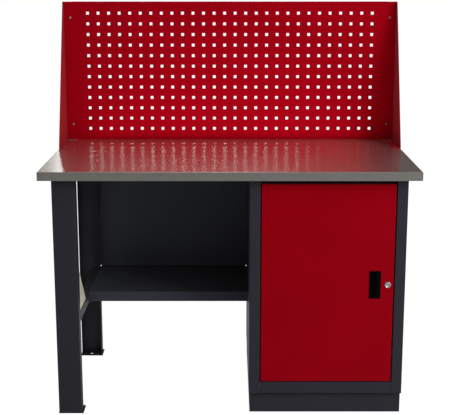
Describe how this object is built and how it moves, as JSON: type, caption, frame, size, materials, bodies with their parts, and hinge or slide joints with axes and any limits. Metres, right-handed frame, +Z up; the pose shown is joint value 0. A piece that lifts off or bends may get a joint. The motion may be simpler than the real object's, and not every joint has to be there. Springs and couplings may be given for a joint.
{
  "type": "workbench",
  "caption": "Sheet-metal workbench with a perforated back board between wings, an open bay with a shelf and a lockable cupboard with a recessed finger pull.",
  "frame": {"origin": "on the floor, under the middle of the worktop", "axes": "+Z up, the front with the door faces -Y, +X to the right as seen from the front"},
  "size_m": [1.2, 0.67, 1.3165],
  "materials": {
    "galvanised": "satin",
    "chipboard": "matt",
    "grey_paint": "satin",
    "red_paint": "satin",
    "zinc": "satin",
    "chrome": "polished",
    "black_plastic": "matt",
    "nylon": "matt"
  },
  "bodies": {
    "bench": {"worktop_core": "chipboard", "worktop_sheet": "galvanised", "worktop_screws": "zinc", "front_left_leg": "grey_paint", "rear_left_leg": "grey_paint", "front_left_foot": "grey_paint", "rear_left_foot": "grey_paint", "leg_top_plates": "grey_paint", "lower_side_rail": "grey_paint", "upper_side_rail": "grey_paint", "corner_gusset": "zinc", "side_frame_screws": "zinc", "bay_back_panel": "grey_paint", "bay_shelf": "grey_paint", "bay_screws": "zinc", "cupboard_left_side": "grey_paint", "cupboard_right_side": "grey_paint", "cupboard_back": "grey_paint", "cupboard_floor": "grey_paint", "cupboard_plinth": "grey_paint", "cupboard_head_rail": "grey_paint", "cupboard_rear_rail": "grey_paint", "inner_shelf": "grey_paint", "shelf_clips": "zinc", "door_stops": "grey_paint", "upper_hinge_bush": "nylon", "lower_hinge_bush": "nylon", "back_board": "red_paint", "left_wing": "red_paint", "right_wing": "red_paint", "board_screws": "zinc", "wing_screws": "zinc", "board_base_screws": "zinc"},
    "door": {"door_pan": "red_paint", "door_stiffener": "grey_paint", "finger_pull": "black_plastic", "upper_hinge_pin": "zinc", "lower_hinge_pin": "zinc", "lock_barrel": "chrome", "lock_nut": "zinc"},
    "lock": {"lock_plug": "chrome", "lock_cam": "zinc", "cam_screw": "zinc"}
  },
  "joints": [
    {"name": "door_hinge", "type": "hinge", "parent": "bench", "child": "door", "pos_m": [0.11, -0.292, 0.441], "axis": [0, 0, -1], "range_deg": [0, 110]},
    {"name": "lock_turn", "type": "hinge", "parent": "door", "child": "lock", "pos_m": [0.5065, -0.3, 0.441], "axis": [0, -1, 0], "range_deg": [0, 90]}
  ]
}
